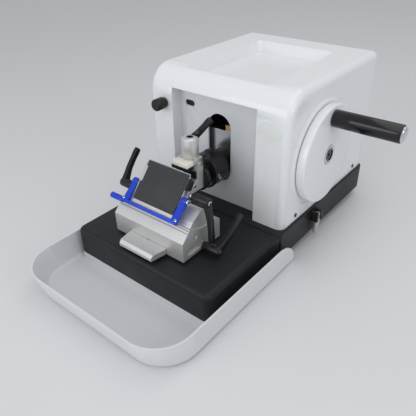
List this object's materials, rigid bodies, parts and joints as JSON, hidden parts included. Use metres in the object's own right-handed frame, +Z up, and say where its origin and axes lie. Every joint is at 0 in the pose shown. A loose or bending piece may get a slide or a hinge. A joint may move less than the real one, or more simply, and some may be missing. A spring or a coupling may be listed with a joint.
{
  "type": "rotary microtome",
  "caption": "Rotary microtome with a handwheel-driven vertical slide, an orientable specimen clamp, a disposable blade holder on a rail and a pull-out waste tray.",
  "frame": {"origin": "bottom centre of the whole machine's box, on the table", "axes": "+Z up, +Y to the back along the specimen arm, +X to the right, the handwheel's side"},
  "size_m": [0.417, 0.5764, 0.2742],
  "materials": {
    "black_casting": "fine-textured black enamel",
    "white_shell": "gloss white enamel",
    "panel_grey": "satin light grey enamel",
    "tray_white": "moulded off-white plastic",
    "black_knob": "matt black plastic",
    "grip_black": "polished black plastic",
    "lens_black": "polished black plastic",
    "foot_rubber": "moulded rubber",
    "satin_aluminium": "satin anodised",
    "bright_steel": "ground",
    "bright_chrome": "polished",
    "dark_steel": "blackened",
    "soft_brass": "machined",
    "grey_iron": "machined casting",
    "guard_blue": "blue anodised",
    "jaw_cream": "cream coat"
  },
  "bodies": {
    "stand": {"base_casting": "black_casting", "base_cover": "dark_steel", "rubber_feet": "foot_rubber", "housing_shell": "white_shell", "front_panel": "panel_grey", "window_lens": "lens_black", "bearing_pedestal": "grey_iron", "fixed_bushes": "soft_brass", "guide_frame": "grey_iron", "fixed_guide_rails": "bright_steel", "lock_bracket": "dark_steel", "slide_rail": "satin_aluminium", "fixed_screws": "dark_steel"},
    "tray": {"waste_tray": "tray_white"},
    "handwheel": {"handwheel_disc": "white_shell", "wheel_hub_ring": "bright_chrome", "wheel_screw": "dark_steel", "main_shaft": "bright_steel", "crank_disc": "grey_iron", "crank_pin": "bright_steel", "handle_spindle": "bright_steel", "grip_end_cap": "bright_chrome"},
    "grip": {"handle_grip": "grip_black"},
    "wheel_lock": {"wheel_lock_lever": "bright_chrome"},
    "vertical_slide": {"slide_carriage": "bright_steel", "brass_wiper": "soft_brass", "moving_guide_rails": "bright_steel", "guide_rollers": "bright_steel", "yoke_plate": "bright_steel", "screw_bracket": "satin_aluminium"},
    "shoe": {"yoke_shoe": "soft_brass"},
    "feed_arm": {"feed_cylinder": "dark_steel", "feed_nut": "soft_brass", "head_housing": "black_knob"},
    "screw": {"feed_screw": "bright_steel", "ratchet_wheel": "bright_steel"},
    "pawl": {"ratchet_pawl": "dark_steel"},
    "coarse_drive": {"coarse_wheel": "black_knob", "coarse_shaft": "bright_steel", "coarse_knob": "black_knob"},
    "thickness_setting": {"thickness_knob": "black_knob", "thickness_shaft": "bright_steel"},
    "gimbal_ring": {"tilt_ring": "bright_steel"},
    "specimen_clamp": {"swivel_plate": "black_knob", "clamp_body": "satin_aluminium", "clamp_post": "satin_aluminium", "orientation_knob": "dark_steel"},
    "jaw_screw": {"clamp_screw": "dark_steel"},
    "jaw": {"moving_jaw": "jaw_cream"},
    "jaw_lever": {"jaw_lock_lever": "black_knob"},
    "holder": {"holder_base": "satin_aluminium"},
    "holder_lever": {"base_lock_lever": "black_knob"},
    "segment": {"tilt_segment": "satin_aluminium"},
    "segment_lever": {"tilt_lock_lever": "black_knob"},
    "knife_carriage": {"blade_carriage": "satin_aluminium", "side_support": "dark_steel", "blade": "bright_steel"},
    "plate_lever": {"press_lever": "black_knob"},
    "plate": {"pressure_plate": "dark_steel"},
    "guard": {"finger_guard": "guard_blue"}
  },
  "joints": [
    {"name": "tray_slide", "type": "slide", "parent": "stand", "child": "tray", "axis": [0, -1, 0], "range_m": [0, 0.12]},
    {"name": "handwheel_turn", "type": "hinge", "parent": "stand", "child": "handwheel", "pos_m": [0.09005, 0.09785, 0.1592], "axis": [1, 0, 0], "continuous": true},
    {"name": "grip_turn", "type": "hinge", "parent": "handwheel", "child": "grip", "pos_m": [0.10445, 0.09785, 0.219], "axis": [1, 0, 0], "continuous": true},
    {"name": "wheel_lock_turn", "type": "hinge", "parent": "stand", "child": "wheel_lock", "pos_m": [0.09905, 0.09325, 0.05], "axis": [0, -1, 0], "range_deg": [0, 60]},
    {"name": "vertical_travel", "type": "slide", "parent": "stand", "child": "vertical_slide", "axis": [0, 0, 1], "range_m": [-0.006, 0.054]},
    {"name": "shoe_travel", "type": "slide", "parent": "vertical_slide", "child": "shoe", "axis": [0, 1, 0], "range_m": [-0.012, 0.048]},
    {"name": "feed_travel", "type": "slide", "parent": "vertical_slide", "child": "feed_arm", "axis": [0, -1, 0], "range_m": [-0.01, 0.015]},
    {"name": "feed_screw_turn", "type": "hinge", "parent": "vertical_slide", "child": "screw", "pos_m": [-0.04905, 0.16145, 0.132], "axis": [0, 1, 0], "range_deg": [-1800, 2700]},
    {"name": "pawl_turn", "type": "hinge", "parent": "vertical_slide", "child": "pawl", "pos_m": [-0.07605, 0.16145, 0.158], "axis": [0, -1, 0], "range_deg": [0, 20], "stiffness_Nm_per_rad": 0.02, "springref_deg": -5.73},
    {"name": "coarse_feed_turn", "type": "hinge", "parent": "stand", "child": "coarse_drive", "pos_m": [-0.17845, 0.11725, 0.1502], "axis": [-1, 0, 0], "range_deg": [-1800, 2700]},
    {"name": "thickness_turn", "type": "hinge", "parent": "stand", "child": "thickness_setting", "pos_m": [-0.14345, -0.00125, 0.219], "axis": [0, 1, 0], "range_deg": [0, 300]},
    {"name": "head_tilt", "type": "hinge", "parent": "feed_arm", "child": "gimbal_ring", "pos_m": [-0.04905, -0.01675, 0.132], "axis": [1, 0, 0], "range_deg": [-8, 8]},
    {"name": "head_swivel", "type": "hinge", "parent": "gimbal_ring", "child": "specimen_clamp", "pos_m": [-0.04905, -0.01675, 0.132], "axis": [0, 0, 1], "range_deg": [-8, 8]},
    {"name": "jaw_screw_turn", "type": "hinge", "parent": "specimen_clamp", "child": "jaw_screw", "pos_m": [-0.04905, -0.04975, 0.17], "axis": [0, 0, -1], "range_deg": [0, 2160]},
    {"name": "jaw_travel", "type": "slide", "parent": "specimen_clamp", "child": "jaw", "axis": [0, 0, -1], "range_m": [0, 0.009]},
    {"name": "jaw_lever_turn", "type": "hinge", "parent": "specimen_clamp", "child": "jaw_lever", "pos_m": [-0.05955, -0.03975, 0.188], "axis": [0, -1, 0], "range_deg": [0, 60]},
    {"name": "holder_travel", "type": "slide", "parent": "stand", "child": "holder", "axis": [0, -1, 0], "range_m": [-0.01, 0.025]},
    {"name": "holder_lever_turn", "type": "hinge", "parent": "holder", "child": "holder_lever", "pos_m": [0.01895, -0.10655, 0.0705], "axis": [1, 0, 0], "range_deg": [-35, 0]},
    {"name": "edge_angle", "type": "hinge", "parent": "holder", "child": "segment", "pos_m": [-0.04905, -0.09565, 0.1714], "axis": [1, 0, 0], "range_deg": [-10, 0]},
    {"name": "segment_lever_turn", "type": "hinge", "parent": "segment", "child": "segment_lever", "pos_m": [-0.11705, -0.10765, 0.1214], "axis": [1, 0, 0], "range_deg": [0, 60]},
    {"name": "lateral_travel", "type": "slide", "parent": "segment", "child": "knife_carriage", "axis": [-1, 0, 0], "range_m": [-0.018, 0]},
    {"name": "plate_lever_turn", "type": "hinge", "parent": "knife_carriage", "child": "plate_lever", "pos_m": [-0.04905, -0.10804, 0.14662], "axis": [1, 0, 0], "range_deg": [-90, 0]},
    {"name": "plate_turn", "type": "hinge", "parent": "knife_carriage", "child": "plate", "pos_m": [-0.04905, -0.13493, 0.12382], "axis": [1, 0, 0], "range_deg": [0, 15]},
    {"name": "guard_turn", "type": "hinge", "parent": "knife_carriage", "child": "guard", "pos_m": [-0.04905, -0.11672, 0.14081], "axis": [1, 0, 0], "range_deg": [-135, 0]}
  ],
  "couplings": [
    {"joint": "coarse_feed_turn", "follows": "feed_travel", "rad_per_m": 3141.6},
    {"joint": "feed_screw_turn", "follows": "feed_travel", "rad_per_m": 3141.6},
    {"joint": "jaw_screw_turn", "follows": "jaw_travel", "rad_per_m": 4188.8}
  ]
}
